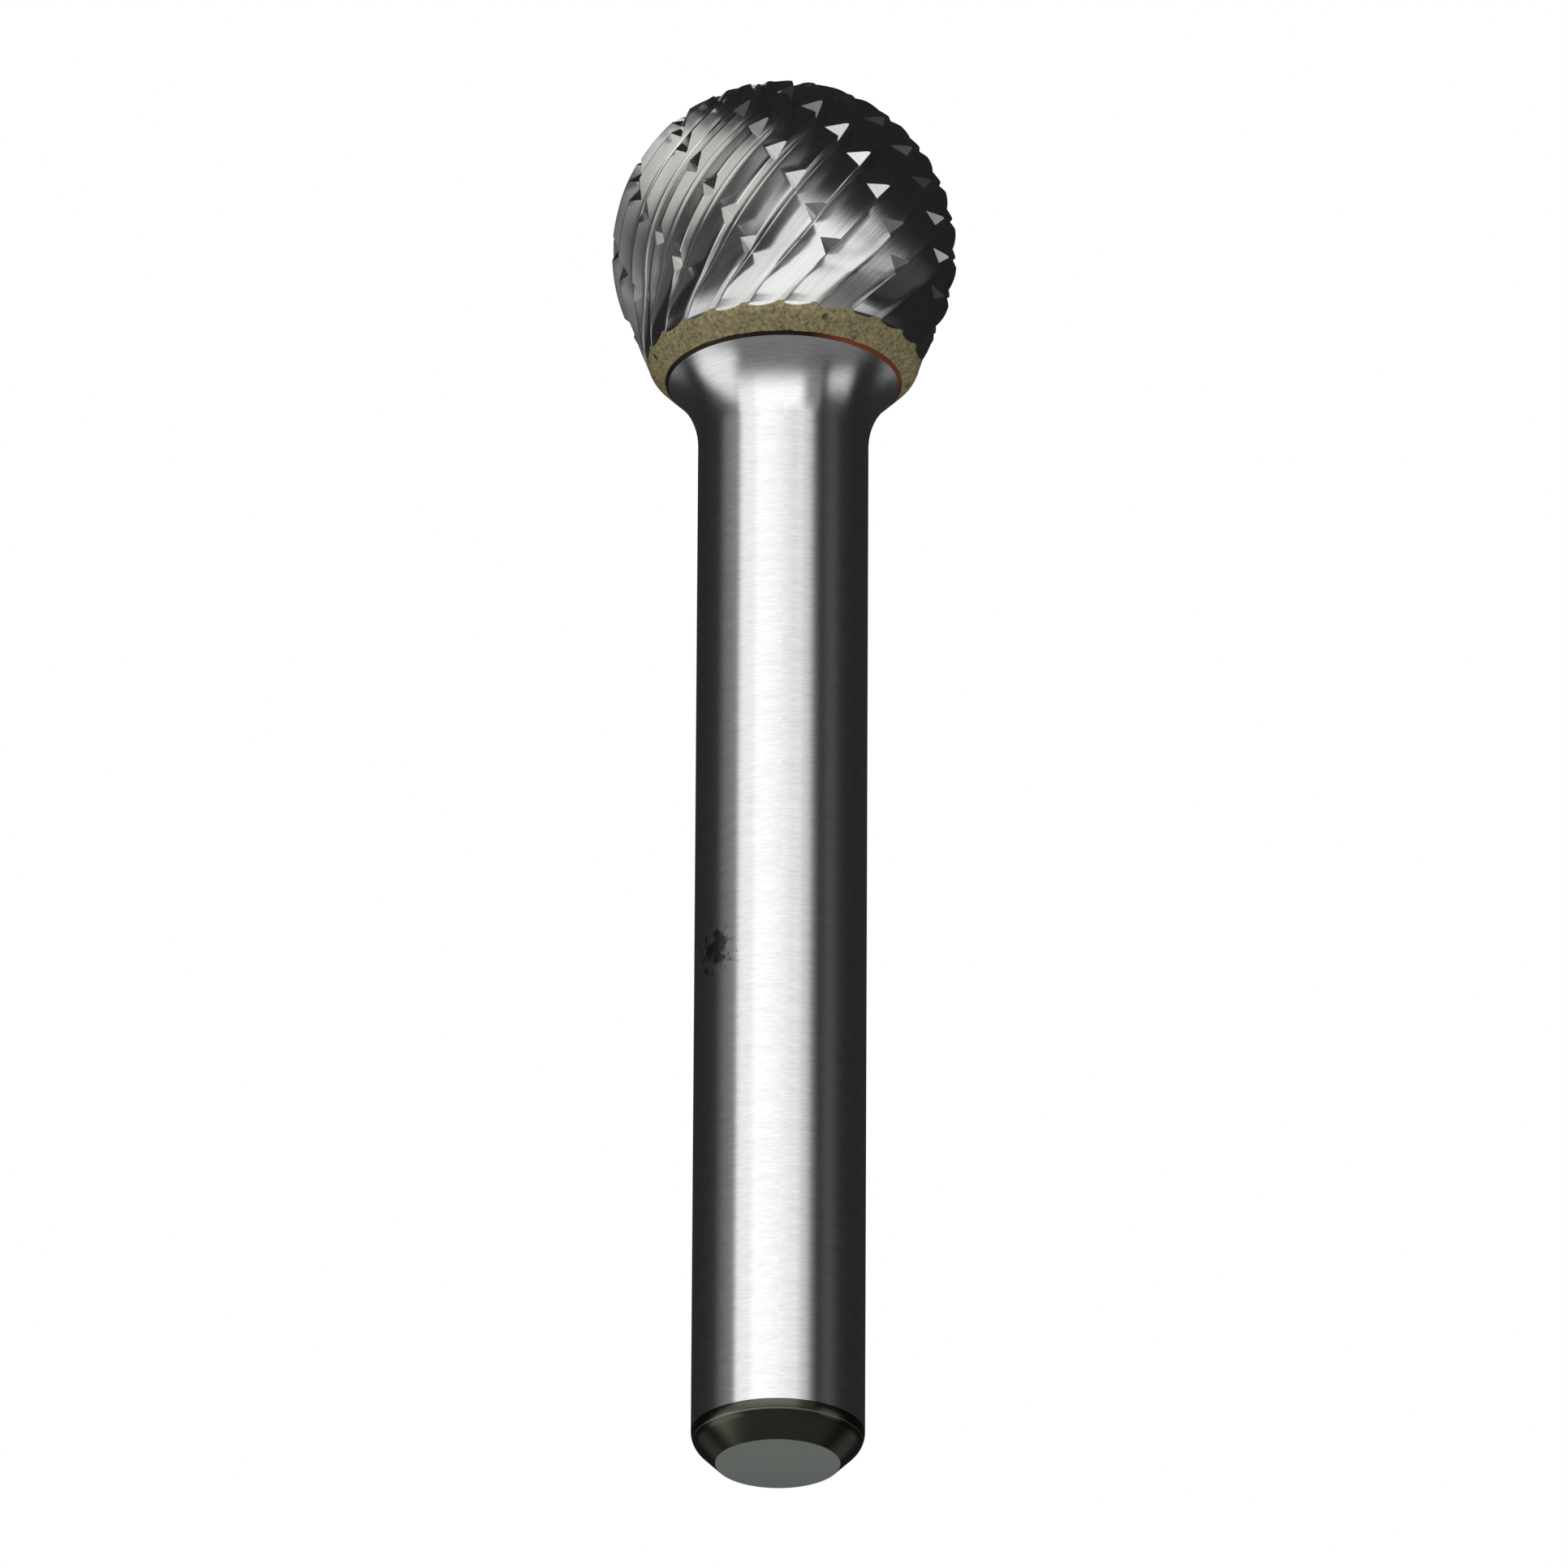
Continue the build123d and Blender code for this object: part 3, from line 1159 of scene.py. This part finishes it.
# Centreless-ground tool steel: bright, with short faint marks round the shank that draw each
# reflection out along it. The marks are drawn 0.07 mm apart to show.
GROUND_STEEL = GroundMetal(
    "ground_steel",
    "#F0F2F3",
    roughness=0.24,
    anisotropy=0.75,
    streaks=Streaks(Lay.ROUND_AXIS, spacing=0.07, length=0.18, relief=0.0006),
    shade=(0.91, 1.06),
    broad_shade=(0.95, 1.03),
    smudge=Smudge(),
)
# Turned steel on the chamfer, coloured a dark olive-black, much darker than the ground side.
TURNED_STEEL = GroundMetal(
    "turned_steel",
    "#5C5C52",
    roughness=0.25,
    anisotropy=0.5,
    streaks=Streaks(Lay.ROUND_AXIS, spacing=0.1, length=0.8, relief=0.002),
)
# Painted highlight: a thin paler ring of steel where the chamfer rounds into the shank, standing in
# for the bright line that the rounding reflects.
RIDGE_HIGHLIGHT_STEEL = GroundMetal(
    "painted_ridge_highlight",
    "#97978C",
    roughness=0.4,
    anisotropy=0.3,
    streaks=Streaks(Lay.ROUND_AXIS, spacing=0.1, length=0.1, relief=0.002),
)
# Cut-off steel faced flat and blasted: an even grey-green satin.
FACED_STEEL = PlainMetal("faced_steel", "#BAC3BB", roughness=0.42)
# Copper-based braze wiped clean: a dull orange-red line.
COPPER_BRAZE = PlainMetal("copper_braze", "#DC7E5F", roughness=0.5)
# The same braze tarnished by the torch: a dark brown line.
TARNISHED_BRAZE = PlainMetal("tarnished_braze", "#494035", roughness=0.5)
# Matt white paper: no sheen, so it takes the tool's soft shadow and nothing else.
MATT_PAPER = Paper("matt_paper", "#F4F4F2")


# --- stage --------------------------------------------------------------------------------


@dataclass(frozen=True)
class LongLensCamera:
    """A long lens that looks up along the tool from beside the shank's end.

    The focal length is in pixels of a frame 1932 wide, and the two shifts are in the frame's own
    directions.
    """

    focal_px: float = 24000.0
    frame_px: float = 1932.0
    sensor: float = 36.0
    reach: float = 10.0
    below: float = math.radians(25.03)
    roll: float = math.radians(0.311)
    beside: float = -0.228 * MM
    under: float = -24.72 * MM
    distance: float = 708.2 * MM

    def build(self) -> bpy.types.Object:
        """Places the camera and makes it the scene's.

        Returns:
            The camera's object.
        """
        camera = bpy.data.cameras.new("long_lens")
        camera.sensor_width = self.sensor
        camera.lens = self.focal_px / self.frame_px * self.sensor
        camera.clip_end = self.reach
        down, ahead = math.sin(self.below), math.cos(self.below)
        back = Vector((0.0, -ahead, -down))
        right, up = Vector((1.0, 0.0, 0.0)), Vector((0.0, -down, ahead))
        turned_right = right * math.cos(self.roll) + up * math.sin(self.roll)
        turned_up = up * math.cos(self.roll) - right * math.sin(self.roll)
        place = back * self.distance - turned_right * self.beside - turned_up * self.under
        obj = bpy.data.objects.new("long_lens", camera)
        axes = Matrix((turned_right, turned_up, back)).transposed()
        obj.matrix_world = Matrix.Translation(place) @ axes.to_4x4()
        bpy.context.scene.collection.objects.link(obj)
        bpy.context.scene.camera = obj
        return obj


@dataclass(frozen=True)
class Panel:
    """A soft white or grey panel of the studio, by the directions that it fills.

    Angles are in degrees, east of the front and above the horizon. Each edge fades over twice
    its softness. The top slope raises or lowers the upper edge with each degree east.
    """

    west: float
    east: float
    low: float
    high: float
    light: float
    side_edge: float
    low_edge: float
    high_edge: float
    top_slope: float = 0.0

    def light_at(self, tree: NodeTree, turn: Socket, rise: Socket) -> Socket:
        """Adds the nodes that give this panel's light in a direction.

        Args:
            tree: The world's node tree.
            turn: Degrees east of the front.
            rise: Degrees above the horizon.

        Returns:
            The light, which falls to 0 outside the panel.
        """
        slant = {0: turn, 1: self.top_slope, 2: rise}
        top = add_node(tree, "ShaderNodeMath", slant, operation="MULTIPLY_ADD").outputs[0]
        shares = []
        for value, middle, soft in (
            (turn, self.west, self.side_edge),
            (turn, self.east, -self.side_edge),
            (rise, self.low, self.low_edge),
            (top, self.high, -self.high_edge),
        ):
            edge = {"Value": value, "From Min": middle - soft, "From Max": middle + soft}
            soft_edge = add_node(tree, "ShaderNodeMapRange", edge, interpolation_type="SMOOTHSTEP")
            shares.append(soft_edge.outputs[0])
        return product(tree, (*shares, self.light))


@dataclass(frozen=True)
class Studio:
    """A white room, as polished metal mirrors it: soft panels with dark between them.

    Dark is the light between the panels, and plain is the even light on matt surfaces.
    """

    dark: float = 0.02
    plain: float = 0.85
    # West, east, low, high, light, softness of the side, low and high edges, then any slope.
    panels: tuple[Panel, ...] = (
        # The big soft box in front: its left part, its middle, the glow under it and its corner.
        Panel(-60.0, -30.0, -17.0, 34.0, 1.0, 3.0, 13.0, 12.0, 0.33),
        Panel(-42.0, 27.0, -17.0, 34.0, 1.25, 9.0, 13.0, 12.0, 0.33),
        Panel(-60.0, 38.0, -28.0, 10.0, 0.3, 8.0, 12.0, 8.0),
        Panel(18.0, 41.0, 20.0, 38.0, 1.05, 7.0, 4.0, 8.0),
        # A dimmer card up on the left, then the grey fall-off on both sides.
        Panel(-94.0, -56.0, 30.0, 50.0, 0.6, 8.0, 6.0, 9.0),
        Panel(-80.0, -58.0, -20.0, 30.0, 0.06, 17.0, 8.0, 8.0),
        Panel(24.0, 48.0, -30.0, 24.0, 0.24, 4.0, 8.0, 6.0),
        Panel(56.0, 80.0, 14.0, 34.0, 0.08, 14.0, 6.0, 6.0),
        # White cards on the left and, low down, on the right.
        Panel(-108.0, -58.0, -47.0, 47.0, 0.9, 9.0, 9.0, 9.0, -0.6),
        Panel(56.0, 86.0, -26.0, -2.0, 0.7, 8.0, 7.0, 9.0),
        # The pale ground below the front, then below the back, where its two halves meet.
        Panel(-110.0, 110.0, -120.0, -36.0, 0.17, 10.0, 8.0, 12.0),
        Panel(-260.0, -128.0, -64.0, -12.0, 0.26, 12.0, 10.0, 8.0),
        Panel(124.0, 260.0, -64.0, -12.0, 0.26, 12.0, 10.0, 8.0),
    )

    def build(self) -> None:
        """Makes the world: white to the eye, plain to matt surfaces, panelled to metal."""
        world = bpy.data.worlds.new("studio")
        bpy.context.scene.world = world
        world.use_nodes = True
        # The world differs by kind of ray, so it is found by the rays themselves, not sampled.
        world.cycles.sampling_method = "NONE"
        tree = world.node_tree
        tree.nodes.clear()
        way = add_node(tree, "ShaderNodeTexCoord").outputs["Generated"]
        high = add_node(tree, "ShaderNodeSeparateXYZ", {"Vector": way}).outputs["Z"]
        climb = add_node(tree, "ShaderNodeMath", {0: high}, operation="ARCSINE").outputs[0]
        turn, rise = (
            add_node(tree, "ShaderNodeMath", {0: angle}, operation="DEGREES").outputs[0]
            for angle in (angle_east(tree, way), climb)
        )
        seen: Socket | float = self.dark
        for panel in self.panels:
            brighter = {0: panel.light_at(tree, turn, rise), 1: seen}
            seen = add_node(tree, "ShaderNodeMath", brighter, operation="MAXIMUM").outputs[0]
        path = add_node(tree, "ShaderNodeLightPath").outputs
        by_gloss = {"Factor": path["Is Glossy Ray"], "A": self.plain, "B": seen}
        room = add_node(tree, "ShaderNodeMix", by_gloss).outputs[0]
        kinds = {0: path["Is Camera Ray"], 1: path["Is Transmission Ray"]}
        clear = add_node(tree, "ShaderNodeMath", kinds, operation="MAXIMUM").outputs[0]
        by_eye = {"Factor": clear, "A": room, "B": 1.0}
        light = add_node(tree, "ShaderNodeMix", by_eye).outputs[0]
        back = add_node(tree, "ShaderNodeBackground", {"Color": light, "Strength": 1.0})
        add_node(tree, "ShaderNodeOutputWorld", {"Surface": back.outputs[0]})


@dataclass(frozen=True)
class PaleFloor:
    """A plain pale floor that shows only from above, so that it hides nothing from below."""

    half_width: float = 1.5
    drop: float = 0.05 * MM

    def build(self) -> bpy.types.Object:
        """Makes the floor just under the shank's end.

        Returns:
            The floor's object.
        """
        corners = [(-1, -1), (1, -1), (1, 1), (-1, 1)]
        points = [(x * self.half_width, y * self.half_width, -self.drop) for x, y in corners]
        floor = mesh_object("floor", np.array(points), [(0, 1, 2, 3)])
        floor.data.materials.append(MATT_PAPER.material())
        floor.visible_glossy = False
        return floor


@dataclass(frozen=True)
class SoftLamp:
    """A soft lamp above the front left, which gives the floor its shadow. Power is in watts."""

    place: tuple[float, float, float] = (-0.25, -0.45, 0.55)
    size: float = 0.35
    power: float = 3.0

    def build(self) -> bpy.types.Object:
        """Hangs the lamp, aimed at the tool.

        Returns:
            The lamp's object.
        """
        lamp = bpy.data.lights.new("soft_lamp", "AREA")
        lamp.energy, lamp.size = self.power, self.size
        obj = bpy.data.objects.new("soft_lamp", lamp)
        aim = Vector(self.place).to_track_quat("Z", "Y").to_matrix().to_4x4()
        obj.matrix_world = Matrix.Translation(self.place) @ aim
        obj.visible_glossy = False
        bpy.context.scene.collection.objects.link(obj)
        return obj


# --- the burr -----------------------------------------------------------------------------


def main() -> None:
    """Builds the burr, then its stage."""
    logging.basicConfig(level=logging.INFO, format="%(name)s: %(message)s")
    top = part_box("carbide_head")[1].z
    joint_low, joint_high = (corner.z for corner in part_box("braze_joint"))
    blank = BallBlank(centre=top - BallBlank.radius)
    teeth = SpiralTeeth(blank)
    skin_top = blank.centre - blank.skin_below
    head = HeadFinish(GROUND_CARBIDE.name, SINTERED_CARBIDE, GROUND_CARBIDE, skin_top)
    CarbideHead(teeth, ChipBreakers(teeth)).build([head.material(), NOTCHED_CARBIDE.material()])
    # The last finish is the painted highlight ring on the chamfer's rounding.
    metals = (GROUND_STEEL, TURNED_STEEL, FACED_STEEL, RIDGE_HIGHLIGHT_STEEL)
    SteelShank(joint_low).build([metal.material() for metal in metals])
    braze = BrazeFinish(COPPER_BRAZE.name, TARNISHED_BRAZE, COPPER_BRAZE)
    BrazeJoint(joint_low, joint_high).build([braze.material()])
    LongLensCamera().build()
    Studio().build()
    PaleFloor().build()
    SoftLamp().build()
    bpy.context.scene.view_settings.view_transform = "Standard"


if __name__ == "__main__":
    main()
